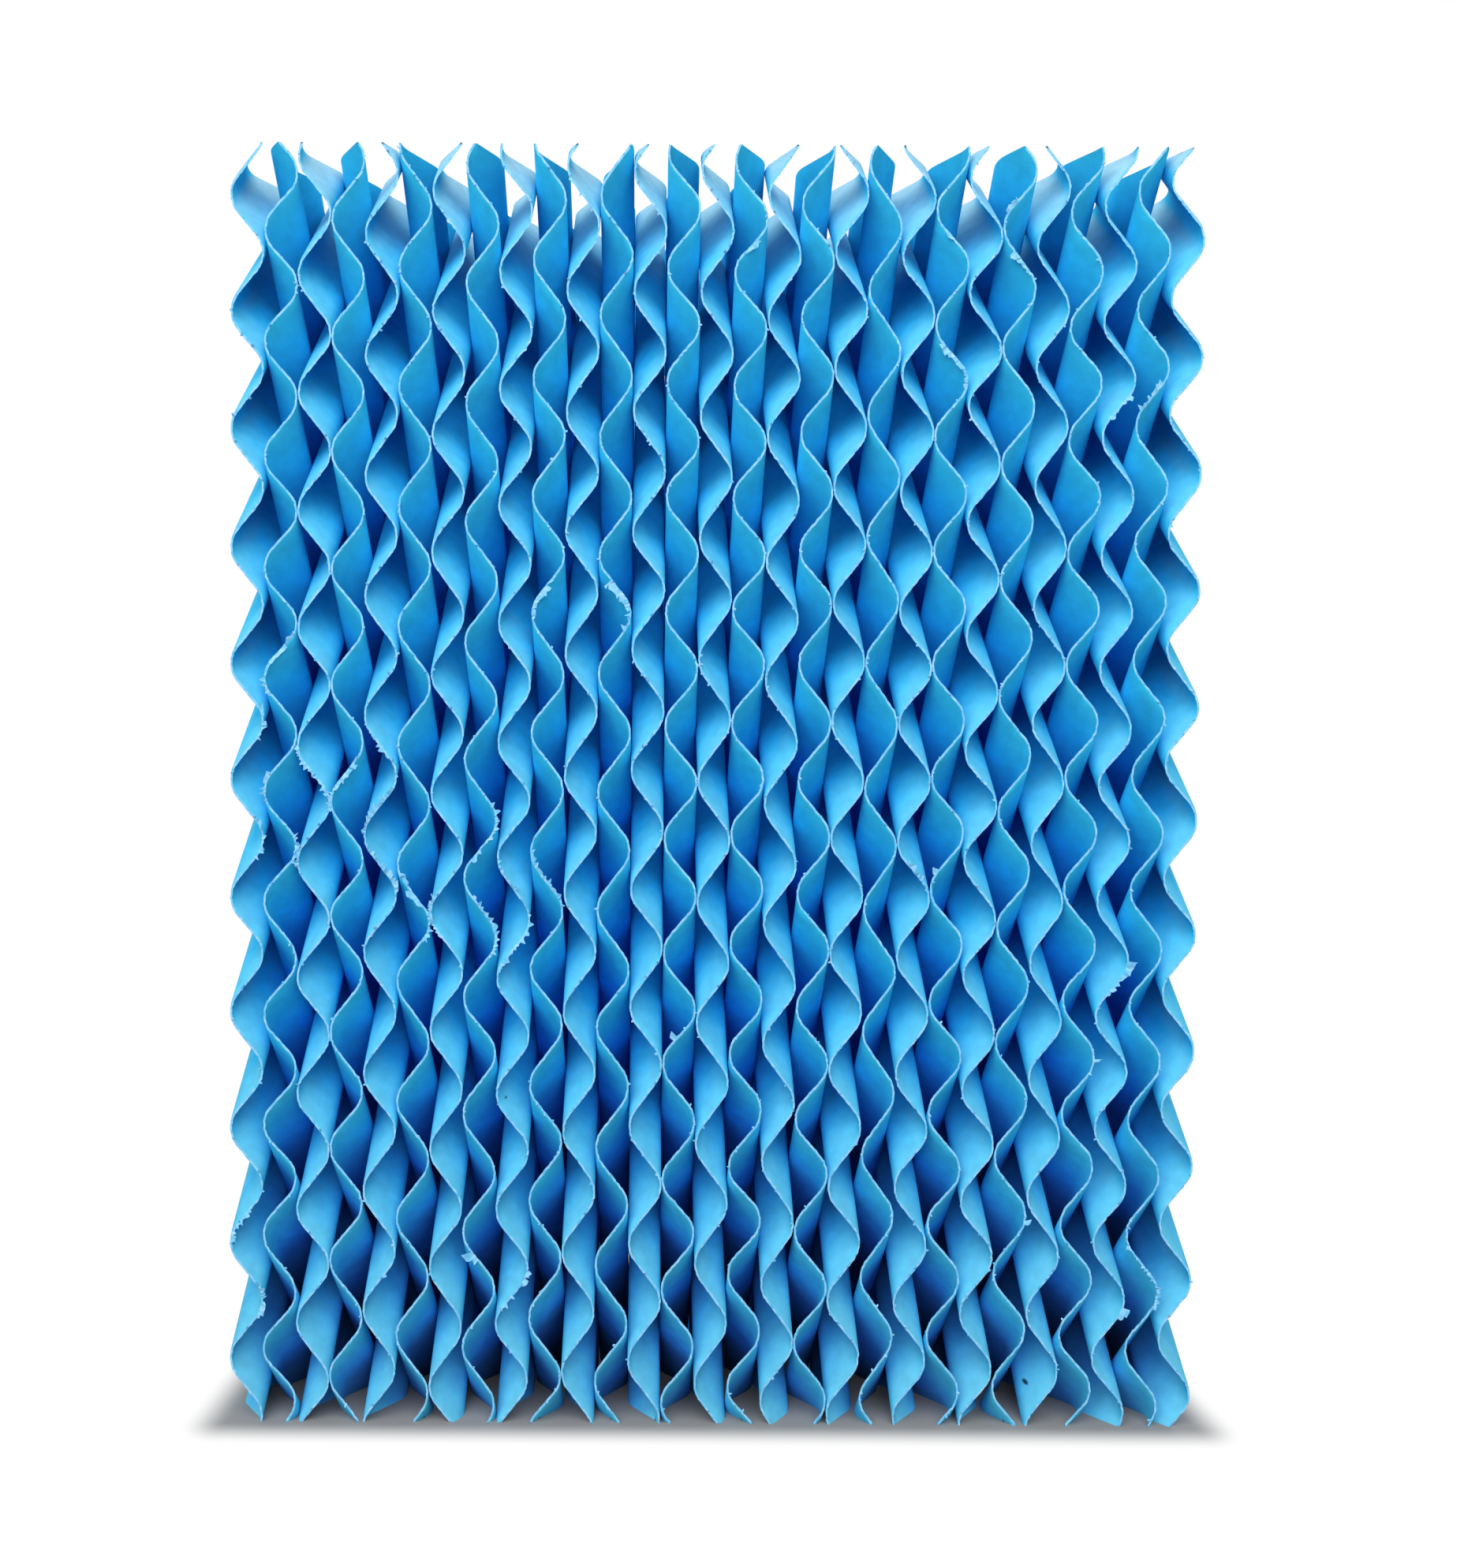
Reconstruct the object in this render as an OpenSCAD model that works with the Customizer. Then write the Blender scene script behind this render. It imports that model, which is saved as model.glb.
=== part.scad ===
// Evaporative cooling pad: corrugated sheets of resin-stiffened paper, standing side by side and glued
// where their crests cross. The flutes of one sheet rise toward the back, those of the next one fall.
// Millimetres, +Z up. The front face looks along -Y. The origin is the middle of the bottom edge.

/* [Pad] */
// Number of corrugated sheets side by side
sheet_count = 29; // [3:1:60]
// Height of the pad from the bottom edge to the top edge
pad_height = 270; // [100:5:600]
// Depth of the pad from the front face to the back face
pad_depth = 50; // [30:5:150]

/* [Sheet] */
// Thickness of the stiffened paper
paper_t = 0.4; // [0.3:0.05:0.8]
// Height of a flute, measured over the paper
flute_h = 7; // [6:0.5:12]
// Radius of a crest in the middle of the paper
crest_r = 3.2; // [2:0.1:3.5]
// Flat strips that make up the bend of one crest
crest_steps = 6; // [2:2:12]

/* [Stacking] */
// Slope of the flutes that rise toward the back
rise_angle = 45; // [30:1:60]
// Slope of the flutes that fall toward the back
fall_angle = 45; // [15:1:60]
// Thickness of the glue between two crossing crests
glue_t = 0.05; // [0.02:0.01:0.2]
// Waves between the two crests whose heights are given below
crest_waves = 9; // [8:1:10]
// Height of a right-hand crest near the foot of the front face, sheet by sheet from the left
low_crest_z = [
    26, 28, 33.5, 22, 11.5, 31, 20.5, 28.5, 33.5, 35,
    24, 21.5, 26, 16.5, 21.5, 20, 17.5, 29, 14.5, 18.5,
    14, 31, 36, 20.5, 11.5, 31.5, 27, 28.5, 31.5
]; // [0:0.5:50]
// Height of the right-hand crest that many waves above it, sheet by sheet from the left
high_crest_z = [
    247, 240.5, 255, 242, 238.5, 257, 247.5, 253.5, 256, 258.5,
    252.5, 247, 252, 232.5, 252, 231.5, 247, 246, 235.5, 253,
    234.5, 245, 251.5, 240.5, 236.5, 244.5, 245.5, 248.5, 250.5
]; // [220:0.5:270]

/* [Hidden] */
// Step from one sheet to the next
sheet_step = flute_h + glue_t;
// Middle of a sheet to the middle of the bend of its crest
bend_x = (flute_h - paper_t) / 2 - crest_r;

// Slope of the flutes of sheet i, above level when they rise toward the back
function flute_slope(i) = i % 2 == 0 ? rise_angle : -fall_angle;

// Where the waves of sheet i are read: a pad with more sheets starts the list again
function reading(i) = i % len(low_crest_z);

// Distance from crest to crest of sheet i, square to its flutes
function sheet_pitch(i) =
    (high_crest_z[reading(i)] - low_crest_z[reading(i)]) / crest_waves * cos(flute_slope(i));

// Half the angle that the paper turns through at a crest, so that the straight flanks run on from the bends
function bend_half(pitch) =
    atan2(2 * bend_x, pitch / 2) + asin(2 * crest_r / norm([pitch / 2, 2 * bend_x]));

// Distance square to the flutes of a point on the front face at height z
function across(slope, z) = pad_depth / 2 * sin(slope) + z * cos(slope);

// One side of the paper, at the offset given from its middle, through the waves first to last.
// A wave is a right-hand crest and then a left-hand one half a pitch further on.
function paper_side(start, pitch, first, last, offset) = [
    for (wave = [first:last])
        for (hand = [1, -1])
            for (j = [0:crest_steps])
                let (
                    turn = bend_half(pitch) * (2 * j / crest_steps - 1),
                    r = crest_r + hand * offset,
                    middle = start + (wave + (1 - hand) / 4) * pitch
                )
                [hand * (bend_x + r * cos(turn)), middle + r * sin(turn)]
];

function reversed(points) = [for (i = [len(points) - 1:-1:0]) points[i]];

// The wavy section of a sheet, square to its flutes, long enough to cover the pad
module wave_section(i) {
    slope = flute_slope(i);
    pitch = sheet_pitch(i);
    start = across(slope, low_crest_z[reading(i)]);
    reach = pad_depth / 2 * abs(sin(slope));
    first = floor((-reach - start) / pitch) - 1;
    last = ceil((reach + pad_height * cos(slope) - start) / pitch) + 1;
    polygon(concat(
        paper_side(start, pitch, first, last, paper_t / 2),
        reversed(paper_side(start, pitch, first, last, -paper_t / 2))
    ));
}

// The pad's outline over one sheet: what is left when the glued block is sawn to size
module sawn_block() {
    translate([-flute_h, -pad_depth / 2, 0])
        cube([2 * flute_h, pad_depth, pad_height]);
}

// One corrugated sheet, with its flutes on the slope and its edges sawn flush with the pad's faces
module sheet(i) {
    translate([(i - (sheet_count - 1) / 2) * sheet_step, 0, 0])
        intersection() {
            rotate([90 + flute_slope(i), 0, 0])
                linear_extrude(3 * (pad_height + pad_depth), center = true)
                    wave_section(i);
            sawn_block();
        }
}

for (i = [0:sheet_count - 1])
    color("#3aa5de") sheet(i);
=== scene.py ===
import math
import random

import bmesh
import bpy
from mathutils import Matrix, Vector, noise


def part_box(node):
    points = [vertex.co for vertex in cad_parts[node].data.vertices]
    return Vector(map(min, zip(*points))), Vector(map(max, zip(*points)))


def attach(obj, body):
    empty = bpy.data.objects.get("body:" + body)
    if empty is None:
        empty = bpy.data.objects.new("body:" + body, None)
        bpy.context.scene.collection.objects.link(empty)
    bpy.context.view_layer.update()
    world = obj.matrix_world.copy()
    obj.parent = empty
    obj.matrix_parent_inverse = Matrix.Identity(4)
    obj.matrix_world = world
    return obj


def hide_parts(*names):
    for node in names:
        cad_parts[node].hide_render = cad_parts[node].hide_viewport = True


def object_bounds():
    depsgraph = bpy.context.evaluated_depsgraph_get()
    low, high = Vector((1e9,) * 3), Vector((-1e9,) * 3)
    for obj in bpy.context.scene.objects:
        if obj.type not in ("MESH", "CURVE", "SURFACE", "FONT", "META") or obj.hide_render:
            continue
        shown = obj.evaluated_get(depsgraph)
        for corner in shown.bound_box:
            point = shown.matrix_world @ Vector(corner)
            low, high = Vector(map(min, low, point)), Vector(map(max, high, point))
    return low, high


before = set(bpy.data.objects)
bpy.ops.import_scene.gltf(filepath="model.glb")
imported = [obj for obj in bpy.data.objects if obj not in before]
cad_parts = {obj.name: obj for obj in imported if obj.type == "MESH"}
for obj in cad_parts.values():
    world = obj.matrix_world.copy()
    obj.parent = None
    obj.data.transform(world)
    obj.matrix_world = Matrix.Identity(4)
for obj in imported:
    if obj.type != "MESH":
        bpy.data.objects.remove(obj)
cad_low, cad_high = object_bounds()


# Corrugated sheets: the whole pad. Each is one length of kraft paper, dyed blue, stiffened with resin and
# pressed into flutes between rolls. They stand on edge, glued where the crests of two neighbours cross, and
# the block is sawn to size, which leaves a paler, ragged edge on all four sides of every sheet.
sheet_names = sorted(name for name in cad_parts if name.startswith("sheet_"))
paper_t = 0.0004
crest_r = 0.0032
flute_slope = math.radians(45)
wave_drift = 0.0008
drift_grain = 45
rows_per_wave = 24
columns = 16
# A fixed seed, so that the saw leaves the same edges in every run
noise.seed_set(1)


def crests_on_front(name):
    """Lowest right-hand crest of a sheet on the front face, and the step to the next one, from its solid."""
    low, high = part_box(name)
    heights = sorted({
        round(v.co.z, 5)
        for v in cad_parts[name].data.vertices
        if v.co.y < low[1] + 1e-5 and v.co.x > high[0] - 1e-5
    })
    return heights[0], (heights[-1] - heights[0]) / (len(heights) - 1)


def flute_profile(waves, pitch, half_height):
    """How far the paper's middle stands to the right, at a number of waves above a right-hand crest."""
    bend_x = half_height - crest_r
    turn = math.atan2(2 * bend_x, pitch / 2) + math.asin(2 * crest_r / math.hypot(pitch / 2, 2 * bend_x))
    bend_half = crest_r * math.sin(turn)
    across = abs((waves + 0.5) % 1 - 0.5) * pitch
    if across < bend_half:
        return bend_x + math.sqrt(crest_r ** 2 - across ** 2)
    if pitch / 2 - across < bend_half:
        return -bend_x - math.sqrt(crest_r ** 2 - (pitch / 2 - across) ** 2)
    flank_x = bend_x + crest_r * math.cos(turn)
    return flank_x * (1 - 2 * (across - bend_half) / (pitch / 2 - 2 * bend_half))


def corrugated_sheet(name, climb):
    """A grid laid along the flutes, bent to the wave, then trimmed at the pad's top and bottom."""
    low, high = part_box(name)
    depth = high[1] - low[1]
    first_crest, step = crests_on_front(name)
    pitch = step * math.cos(flute_slope)
    half_height = (high[0] - low[0] - paper_t) / 2
    middle_x = (high[0] + low[0]) / 2
    front_low = low[2] - max(0.0, climb * depth) - step / 4
    front_high = high[2] - min(0.0, climb * depth) + step / 4

    bm = bmesh.new()
    rows = round((front_high - front_low) / step * rows_per_wave)
    bmesh.ops.create_grid(bm, x_segments=columns, y_segments=rows, size=1)
    for v in bm.verts:
        into = (1 - math.cos(math.pi * (v.co.x + 1) / 2)) / 2 * depth
        front_z = front_low + (v.co.y + 1) / 2 * (front_high - front_low)
        drift = wave_drift * noise.noise(Vector((middle_x * 300, 0, front_z * drift_grain)))
        side = flute_profile((front_z + drift - first_crest) / step, pitch, half_height)
        v.co = Vector((middle_x + side, low[1] + into, front_z + climb * into))
    for plane_z, outward in ((high[2], 1), (low[2], -1)):
        bmesh.ops.bisect_plane(
            bm, geom=bm.verts[:] + bm.edges[:] + bm.faces[:], dist=1e-7,
            plane_co=(0, 0, plane_z), plane_no=(0, 0, outward), clear_outer=True,
        )
    return bm


# Slivers torn loose from the front edge: sheet, lowest and highest point, side, and how far they stand off.
# Heights and distances are in mm.
torn_slivers = (
    (10, 170.5, 178.0, "right", 1.6), (12, 172.5, 179.0, "left", 2.2), (24, 243.5, 248.5, "left", 1.5),
    (22, 222.0, 229.0, "left", 1.4), (22, 249.5, 252.5, "left", 0.9), (2, 158.0, 165.0, "right", 1.0),
    (4, 134.0, 140.0, "right", 1.4), (16, 247.5, 250.5, "right", 1.5), (6, 109.5, 113.5, "left", 1.3),
    (6, 114.0, 117.0, "right", 1.2), (14, 81.5, 82.5, "left", 2.8), (8, 34.5, 36.5, "left", 2.8),
    (9, 29.5, 31.0, "right", 1.2), (9, 26.5, 27.5, "right", 1.1), (27, 95.0, 99.5, "right", 2.0),
    (26, 77.5, 78.5, "right", 2.4), (24, 43.0, 44.0, "right", 2.0), (27, 23.0, 25.5, "right", 2.0),
    (27, 217.0, 218.5, "right", 1.2), (28, 218.0, 221.0, "left", 1.1), (22, 117.0, 118.5, "left", 1.7),
    (2, 135.5, 138.0, "left", 1.1), (1, 149.5, 152.0, "right", 1.1), (3, 120.0, 122.5, "left", 1.1),
    (5, 31.0, 32.0, "right", 1.0), (26, 245.5, 247.0, "left", 1.1),
)
# Runs of the front edge that the saw left frayed: sheet, lowest and highest point in mm, and side
frayed_runs = (
    (1, 22, 30, "right"), (1, 38, 46, "right"), (1, 120, 129, "right"), (1, 145, 149, "right"),
    (2, 119, 125, "right"), (2, 133, 135, "left"), (2, 154, 158, "left"), (2, 165, 168, "left"),
    (3, 118, 120, "left"), (3, 133, 144, "left"), (4, 130, 134, "left"), (4, 140, 142, "left"),
    (5, 112, 123, "right"), (5, 125, 135, "left"), (5, 141, 147, "left"), (6, 103, 109, "right"),
    (7, 103, 112, "left"), (8, 99, 112, "right"), (8, 119, 132, "right"), (9, 24, 26, "right"),
    (9, 31, 34, "right"), (9, 96, 112, "right"), (9, 113, 120, "right"), (10, 110, 122, "right"),
    (10, 178, 180, "right"), (12, 168, 172, "left"), (21, 114, 120, "right"), (22, 219, 222, "left"),
    (24, 256, 259, "left"), (27, 92, 95, "right"), (27, 213, 217, "right"), (28, 25, 30, "right"),
    (28, 30, 41, "left"), (28, 215, 218, "left"),
)
front, back = -1, 1


def sawn_edges(bm):
    """The paper's open edges that lie in the pad's front or back face."""
    def on_sawn_face(v):
        return v.co.y < cad_low[1] + 1e-6 or v.co.y > cad_high[1] - 1e-6

    return [e for e in bm.edges if e.is_boundary and all(on_sawn_face(v) for v in e.verts)]


def roughen(bm):
    """The saw leaves the front and back edges wavy and just short of the faces. Gives those edges back."""
    fine_grain, broad_grain = 1400, 260
    sway = 0.00014
    short_of_face, short_fine, short_broad = 0.00018, 0.00016, 0.0002
    bmesh.ops.subdivide_edges(bm, edges=sawn_edges(bm), cuts=2)
    bm.normal_update()
    sawn = sawn_edges(bm)
    for v in {v for e in sawn for v in e.verts}:
        fine = noise.noise_vector(v.co * fine_grain)
        broad = noise.noise(v.co * broad_grain)
        v.co += v.normal * sway * fine.x
        short = max(0.0, short_of_face + short_fine * fine.y + short_broad * broad)
        v.co.y -= math.copysign(short, v.co.y)
    return sawn


def torn_places(number, picker):
    """A sheet's torn places, each with its face, lowest and highest point, side and reach in mm."""
    places = [(front,) + place[1:] for place in torn_slivers if place[0] == number]
    places += [(front,) + place[1:] + (0,) for place in frayed_runs if place[0] == number]
    for _ in range(picker.randint(0, 3)):
        start = picker.uniform(5, 250)
        side, reach = picker.choice(("left", "right")), picker.choice((0, 0, 0, 1.2))
        places.append((back, start, start + picker.uniform(3, 10), side, reach))
    return places


def stand_off(bm, edges, aim, pale):
    """Draws edges out of the paper's rim: aim gives each point's new place from its root."""
    grown = bmesh.ops.extrude_edge_only(bm, edges=edges)["geom"]
    roots = {v for e in edges for v in e.verts}
    tips = [g for g in grown if isinstance(g, bmesh.types.BMVert)]
    for tip in tips:
        root = next(e.other_vert(tip) for e in tip.link_edges if e.other_vert(tip) in roots)
        tip.co = aim(root)
    for f in {f for tip in tips for f in tip.link_faces}:
        f.material_index = pale


def tear_loose(bm, sawn, place, picker, pale):
    """Stands a run of the sawn edge off the paper: a sliver if it has a reach, and otherwise a fray."""
    face, lowest, highest, side, reach = place
    fray_least, fray_most = 0.00015, 0.0011
    most_lift = 0.0004

    def in_run(v):
        return v.co.y * face > 0 and lowest <= v.co.z * 1000 <= highest

    run = [e for e in sawn if e.is_boundary and all(in_run(v) for v in e.verts)]
    pull = {}
    for e in run:
        along = e.verts[1].co - e.verts[0].co
        off = Vector((along.z, 0, -along.x)).normalized()
        if (off.x > 0) != (side == "right"):
            off.negate()
        for v in e.verts:
            pull[v] = pull.get(v, Vector()) + off

    def loose_end(root):
        share = (root.co.z * 1000 - lowest) / (highest - lowest)
        if reach:
            stand = reach / 1000 * (0.35 + 0.65 * share) * picker.uniform(0.75, 1.1)
        else:
            stand = fray_least + fray_most * picker.random() ** 2
        lift = Vector((0, face * most_lift * picker.random(), 0.5 * stand * picker.uniform(-0.6, 1)))
        return root.co + pull[root].normalized() * stand + lift

    stand_off(bm, run, loose_end, pale)


def raise_burrs(bm, sawn, picker, pale):
    """Short burrs of fibre on the sawn edges that aren't torn, thicker in some stretches than in others."""
    few, more = 0.08, 0.4
    stretch_grain, bare_below = 40, 0.3
    burr_least, burr_most = 0.00015, 0.0006
    burrs, used = [], set()
    for e in (e for e in sawn if e.is_boundary):
        rough = max(0.0, noise.noise(e.verts[0].co * stretch_grain) - bare_below)
        if picker.random() < few + more * rough and not used & set(e.verts):
            burrs.append(e)
            used |= set(e.verts)
    lean = {}
    for e in burrs:
        reach = burr_least + burr_most * picker.random() ** 2
        root = e.verts[0]
        off = root.normal * picker.choice((-1, 1)) * picker.uniform(0.5, 1.0)
        off += Vector((0, math.copysign(picker.uniform(0.1, 0.5), root.co.y), picker.uniform(-0.5, 0.5)))
        middle = (e.verts[0].co + e.verts[1].co) / 2
        for v in e.verts:
            lean[v] = middle + (v.co - middle) * picker.uniform(0.4, 0.9) + off.normalized() * reach
    stand_off(bm, burrs, lambda root: lean[root], pale)


def give_thickness(bm, climb, left, pale):
    """Parts the paper into a right and a left side, flush with the sawn faces, and closes the rim."""
    flute = Vector((0, 1, climb))
    half, half_at_tip = 0.5, 0.15
    apart = bm.verts.layers.float_vector.new("apart")
    bm.normal_update()
    for v in bm.verts:
        at_end = v.is_boundary and (v.co.z > cad_high[2] - 1e-6 or v.co.z < cad_low[2] + 1e-6)
        slide = v.normal.z / flute.z if at_end else v.normal.y
        torn_tip = all(f.material_index == pale for f in v.link_faces)
        v[apart] = (v.normal - flute * slide) * paper_t * (half_at_tip if torn_tip else half)
    left_faces, left_verts = bm.faces[:], bm.verts[:]
    grown = bmesh.ops.extrude_face_region(bm, geom=left_faces, use_keep_orig=True)["geom"]
    for v in left_verts:
        v.co -= v[apart]
    for v in (g for g in grown if isinstance(g, bmesh.types.BMVert)):
        v.co += v[apart]
    right_faces = {g for g in grown if isinstance(g, bmesh.types.BMFace)}
    rim = set(bm.faces) - right_faces - set(left_faces)
    for f in left_faces:
        f.material_index = f.material_index or left
    for f in rim:
        f.material_index = pale
    for e in bm.edges:
        e.smooth = len(rim.intersection(e.link_faces)) != 1
    bm.verts.layers.float_vector.remove(apart)
    bmesh.ops.recalc_face_normals(bm, faces=bm.faces[:])


def feed(tree, socket, value):
    """Links a socket to another node's, or writes a plain value into it."""
    if isinstance(value, bpy.types.NodeSocket):
        tree.links.new(value, socket)
    else:
        socket.default_value = value


def worked_out(tree, operation, *values):
    """What one of the operations of a Math node makes of its values."""
    node = tree.nodes.new("ShaderNodeMath")
    node.operation = operation
    for socket, value in zip(node.inputs, values):
        feed(tree, socket, value)
    return node.outputs["Value"]


def vector_worked_out(tree, operation, *vectors, output="Vector"):
    """What one of the operations of a Vector Math node makes of its vectors."""
    node = tree.nodes.new("ShaderNodeVectorMath")
    node.operation = operation
    for socket, vector in zip(node.inputs, vectors):
        feed(tree, socket, vector)
    return node.outputs[output]


def split_up(tree, vector):
    """The three numbers of a vector."""
    node = tree.nodes.new("ShaderNodeSeparateXYZ")
    tree.links.new(vector, node.inputs["Vector"])
    return node.outputs["X"], node.outputs["Y"], node.outputs["Z"]


def share_of_way(tree, value, start, end, low=0.0, high=1.0):
    """A share that runs from low to high while the value runs from start to end."""
    node = tree.nodes.new("ShaderNodeMapRange")
    feed(tree, node.inputs["From Min"], start)
    node.inputs["From Max"].default_value = end
    node.inputs["To Min"].default_value = low
    node.inputs["To Max"].default_value = high
    tree.links.new(value, node.inputs["Value"])
    return node.outputs["Result"]


def grain(tree, place, scale, detail):
    """Cloudy noise, fixed to the place on the object."""
    node = tree.nodes.new("ShaderNodeTexNoise")
    node.inputs["Scale"].default_value = scale
    node.inputs["Detail"].default_value = detail
    tree.links.new(place, node.inputs["Vector"])
    return node.outputs["Fac"]


def colours_along(tree, share, *stops):
    """A run of colours: each stop is a share and its colour."""
    node = tree.nodes.new("ShaderNodeValToRGB")
    elements = node.color_ramp.elements
    elements.remove(elements[1])
    elements[0].position, elements[0].color = stops[0]
    for position, colour in stops[1:]:
        elements.new(position).color = colour
    tree.links.new(share, node.inputs["Fac"])
    return node.outputs["Color"]


def covered(tree, under, share, cover):
    """A colour with another one laid over it, as thickly as the share says."""
    node = tree.nodes.new("ShaderNodeMix")
    node.data_type = "RGBA"
    node.inputs["B"].default_value = cover
    tree.links.new(share, node.inputs["Factor"])
    tree.links.new(under, node.inputs["A"])
    return node.outputs["Result"]


def dyed_paper(side):
    """Matt dyed paper: painted shade darkens it inside the flutes, painted light pales up-facing flanks near
    the faces.
    """
    material = bpy.data.materials.new("dyed_paper_" + side)
    material.use_nodes = True
    tree = material.node_tree
    shader = tree.nodes["Principled BSDF"]
    shader.inputs["Roughness"].default_value = 0.8
    shader.inputs["Specular IOR Level"].default_value = 0.06
    place = tree.nodes.new("ShaderNodeTexCoord").outputs["Object"]
    height = split_up(tree, place)[2]

    # Distance past the nearest face, below zero inside the pad: from a side it counts three times over
    from_middle = vector_worked_out(tree, "ABSOLUTE", place)
    past_faces = vector_worked_out(tree, "SUBTRACT", from_middle, cad_high)
    past_x, past_y, past_z = split_up(tree, vector_worked_out(tree, "MULTIPLY", past_faces, (3, 1, 1)))
    outer = worked_out(tree, "MAXIMUM", worked_out(tree, "MAXIMUM", past_x, past_y), past_z)
    patchy = worked_out(tree, "MULTIPLY_ADD", grain(tree, place, 120, 4), 0.006, outer)

    # Blue dye, darkened inward between the sheets by painted shade, which sets in sooner near the foot and on
    # the flanks that look down
    lie = tree.nodes.new("ShaderNodeAttribute")
    lie.attribute_name = "looks_up"
    up = 1 if side == "right" else -1
    facing_up = share_of_way(tree, lie.outputs["Fac"], 0.1 * up, 0.6 * up)
    # Painted shade: on the flanks that look down, the darkening sets in at half the depth
    down_flank_shade = share_of_way(tree, lie.outputs["Fac"], 0.1 * up, -0.5 * up, low=1, high=0.5)
    # Painted shade and light by height: near the foot the darkening sets in sooner, and towards the top it
    # reaches further in
    deepest = worked_out(tree, "MULTIPLY_ADD", height, -0.21, -0.014)
    dye_and_shade_depth = worked_out(tree, "MULTIPLY", deepest, down_flank_shade)
    colour = colours_along(
        tree, share_of_way(tree, patchy, dye_and_shade_depth, 0.003),
        (0, (0.008, 0.14, 0.78, 1)), (0.4, (0.012, 0.30, 0.93, 1)),
        (0.75, (0.020, 0.48, 0.93, 1)), (1, (0.042, 0.61, 0.95, 1)),
    )

    # Up-facing flanks: painted light near the faces, paler at the top. A greyer foot, painted shade deep
    # inside it, faint blotches
    # Painted light: up-facing flanks within a few mm of the faces turn paler
    near_face = share_of_way(tree, patchy, -0.006, 0.003)
    colour = covered(tree, colour, worked_out(tree, "MULTIPLY", facing_up, near_face), (0.13, 0.52, 0.77, 1))
    # Paler where a flank looks up near the top
    near_top = share_of_way(tree, height, 0.248, 0.268, high=0.85)
    colour = covered(tree, colour, worked_out(tree, "MULTIPLY", facing_up, near_top), (0.37, 0.58, 0.70, 1))
    near_foot = share_of_way(tree, height, 0.09, 0.0, high=0.3)
    colour = covered(tree, colour, near_foot, (0.17, 0.52, 0.64, 1))
    # Painted shade: near the foot, the colour goes nearly black far inside the pad
    far_inside = share_of_way(tree, patchy, -0.004, -0.02)
    painted_foot_shade = share_of_way(tree, height, 0.085, 0.01, high=0.85)
    colour = covered(tree, colour, worked_out(tree, "MULTIPLY", far_inside, painted_foot_shade), (0.004, 0.03, 0.10, 1))
    mottled = tree.nodes.new("ShaderNodeHueSaturation")
    blotch = share_of_way(tree, grain(tree, place, 380, 3), 0.3, 0.7, low=0.92, high=1.07)
    tree.links.new(blotch, mottled.inputs["Value"])
    tree.links.new(colour, mottled.inputs["Color"])
    colour = mottled.outputs["Color"]

    # Three dark flecks near the front
    seen_front = vector_worked_out(tree, "MULTIPLY", place, (1, 0.1, 1))
    for across_mm, up_mm, wide_mm in ((68.5, 7.5, 1.2), (-1.5, 185.0, 0.8), (-44.0, 69.0, 0.9)):
        middle = (across_mm / 1000, -0.002, up_mm / 1000)
        apart = vector_worked_out(tree, "DISTANCE", seen_front, middle, output="Value")
        spot = share_of_way(tree, apart, wide_mm / 2000, wide_mm / 4000)
        colour = covered(tree, colour, spot, (0.01, 0.05, 0.10, 1))
    tree.links.new(colour, shader.inputs["Base Color"])

    bump = tree.nodes.new("ShaderNodeBump")
    bump.inputs["Strength"].default_value = 0.15
    bump.inputs["Distance"].default_value = 0.0002
    tree.links.new(grain(tree, place, 2200, 3), bump.inputs["Height"])
    tree.links.new(bump.outputs["Normal"], shader.inputs["Normal"])
    return material


def sawn_edge():
    """The sawn edge of the paper, where the fibres show paler than the dyed faces."""
    material = bpy.data.materials.new("sawn_edge")
    material.use_nodes = True
    tree = material.node_tree
    shader = tree.nodes["Principled BSDF"]
    shader.inputs["Roughness"].default_value = 0.9
    shader.inputs["Specular IOR Level"].default_value = 0.03
    place = tree.nodes.new("ShaderNodeTexCoord").outputs["Object"]
    pale = colours_along(
        tree, grain(tree, place, 900, 2),
        (0.35, (0.15, 0.52, 0.85, 1)), (0.7, (0.33, 0.66, 0.92, 1)),
    )
    tree.links.new(pale, shader.inputs["Base Color"])
    return material


looks = [dyed_paper("right"), dyed_paper("left"), sawn_edge()]
left_look, edge_look = 1, 2
for number, name in enumerate(sheet_names, start=1):
    rising = number % 2 == 1
    climb = math.tan(flute_slope) if rising else -math.tan(flute_slope)
    bm = corrugated_sheet(name, climb)
    picker = random.Random(number)
    sawn = roughen(bm)
    for place in torn_places(number, picker):
        tear_loose(bm, sawn, place, picker, edge_look)
    raise_burrs(bm, sawn, picker, edge_look)
    looks_up = bm.verts.layers.float.new("looks_up")
    bm.normal_update()
    for v in bm.verts:
        v[looks_up] = v.normal.z
    for f in bm.faces:
        f.smooth = f.material_index != edge_look
    give_thickness(bm, climb, left_look, edge_look)
    mesh = bpy.data.meshes.new(name + "_paper")
    bm.to_mesh(mesh)
    bm.free()
    sheet = bpy.data.objects.new(name + "_paper", mesh)
    bpy.context.scene.collection.objects.link(sheet)
    for look in looks:
        sheet.data.materials.append(look)
    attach(sheet, "root")
    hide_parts(name)


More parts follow.
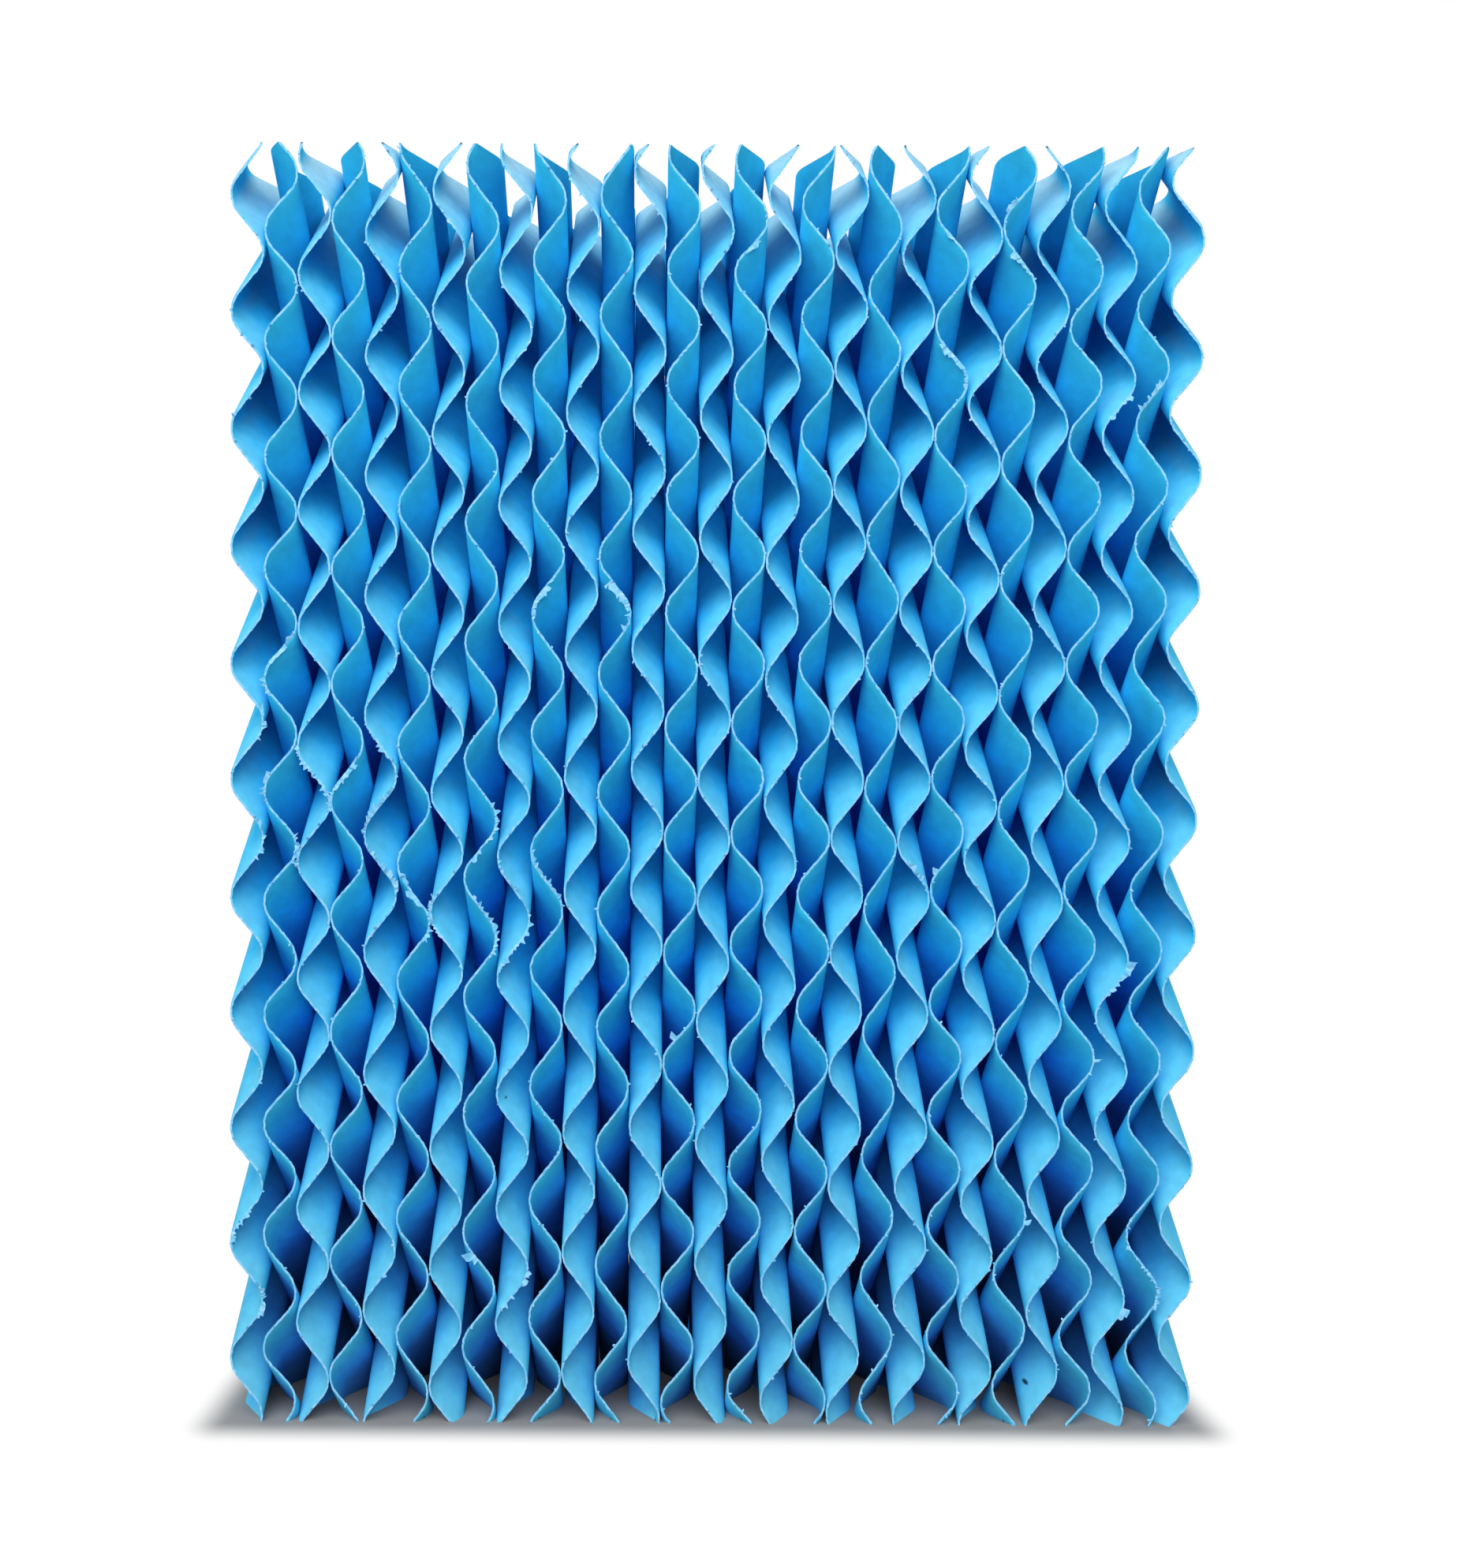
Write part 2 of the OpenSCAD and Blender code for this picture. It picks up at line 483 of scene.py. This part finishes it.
# Floor: a pale, matt surface that the pad stands on. It shows the pad's shadow close by, and runs out into
# the white surround a short way off.
floor_size = 4.0
shadow_reach = 0.01
bm = bmesh.new()
bmesh.ops.create_grid(bm, x_segments=1, y_segments=1, size=floor_size / 2)
mesh = bpy.data.meshes.new("floor")
bm.to_mesh(mesh)
bm.free()
floor = bpy.data.objects.new("floor", mesh)
bpy.context.scene.collection.objects.link(floor)
floor_look = bpy.data.materials.new("pale_floor")
floor_look.use_nodes = True
tree = floor_look.node_tree
matt = tree.nodes["Principled BSDF"]
matt.inputs["Base Color"].default_value = (0.25, 0.25, 0.25, 1)
matt.inputs["Roughness"].default_value = 0.9
white = tree.nodes.new("ShaderNodeEmission")
white.inputs["Color"].default_value = (1, 1, 1, 1)
white.inputs["Strength"].default_value = 1
floor_place = tree.nodes.new("ShaderNodeTexCoord").outputs["Object"]
from_middle = vector_worked_out(tree, "ABSOLUTE", floor_place)
past_pad = vector_worked_out(tree, "SUBTRACT", from_middle, cad_high)
outside = vector_worked_out(tree, "MAXIMUM", past_pad)
fade = share_of_way(tree, vector_worked_out(tree, "LENGTH", outside, output="Value"), 0, shadow_reach)
fade.node.interpolation_type = "SMOOTHSTEP"
path = tree.nodes.new("ShaderNodeLightPath")
blend = tree.nodes.new("ShaderNodeMixShader")
tree.links.new(worked_out(tree, "MULTIPLY", fade, path.outputs["Is Camera Ray"]), blend.inputs["Fac"])
tree.links.new(matt.outputs["BSDF"], blend.inputs[1])
tree.links.new(white.outputs["Emission"], blend.inputs[2])
tree.links.new(blend.outputs["Shader"], tree.nodes["Material Output"].inputs["Surface"])
floor.data.materials.append(floor_look)


# Light: a white surround, which lights the pad softly, one broad lamp above and in front of it, and a lower,
# weaker one behind it, so that the back isn't left in the dark.
world = bpy.data.worlds.new("white_surround")
bpy.context.scene.world = world
world.use_nodes = True
tree = world.node_tree
surround = tree.nodes["Background"]
surround.inputs["Color"].default_value = (1, 1, 1, 1)
surround.inputs["Strength"].default_value = 0.25
seen = tree.nodes.new("ShaderNodeBackground")
seen.inputs["Color"].default_value = (1, 1, 1, 1)
seen.inputs["Strength"].default_value = 1
path = tree.nodes.new("ShaderNodeLightPath")
direct = worked_out(tree, "MAXIMUM", path.outputs["Is Camera Ray"], path.outputs["Is Transmission Ray"])
mirrored = worked_out(tree, "MAXIMUM", direct, path.outputs["Is Glossy Ray"])
choose = tree.nodes.new("ShaderNodeMixShader")
tree.links.new(mirrored, choose.inputs["Fac"])
tree.links.new(surround.outputs["Background"], choose.inputs[1])
tree.links.new(seen.outputs["Background"], choose.inputs[2])
tree.links.new(choose.outputs["Shader"], tree.nodes["World Output"].inputs["Surface"])

pad_middle = Vector((0, 0, 0.135))
for lamp_name, lamp_place, size, power in (
    ("front_lamp", Vector((-0.15, -0.80, 0.85)), (2.0, 1.3), 22.5),
    ("back_lamp", Vector((0.15, 1.00, 0.25)), (1.6, 0.5), 14),
):
    lamp_data = bpy.data.lights.new(lamp_name, "AREA")
    lamp_data.shape = "RECTANGLE"
    lamp_data.size, lamp_data.size_y = size
    lamp_data.energy = power
    lamp = bpy.data.objects.new(lamp_name, lamp_data)
    lamp.location = lamp_place
    lamp.rotation_euler = (pad_middle - lamp_place).to_track_quat("-Z", "Y").to_euler()
    bpy.context.scene.collection.objects.link(lamp)


# Camera: close to the front face, a little left of its middle and below mid-height, tipped slightly down and
# rolled a little. The lens and its shift come from the photo's size, focal length and axis in pixels.
photo_w, photo_h = 1875, 1988
focal_pixels = 1540
axis_column, axis_row = 820, 1095
tip, roll = math.radians(0.9), math.radians(0.35)
camera_place = Vector((-0.0141, -0.2817, 0.1233))
camera_data = bpy.data.cameras.new("camera")
camera_data.sensor_width = 36
camera_data.lens = focal_pixels / photo_h * camera_data.sensor_width
camera_data.shift_x = (photo_w / 2 - axis_column) / photo_h
camera_data.shift_y = (axis_row - photo_h / 2) / photo_h
camera_data.clip_start = 0.01
camera = bpy.data.objects.new("camera", camera_data)
camera.matrix_world = (
    Matrix.Translation(camera_place)
    @ Matrix.Rotation(math.radians(90) - tip, 4, "X")
    @ Matrix.Rotation(roll, 4, "Z")
)
bpy.context.scene.collection.objects.link(camera)
bpy.context.scene.camera = camera
bpy.context.scene.view_settings.view_transform = "Standard"
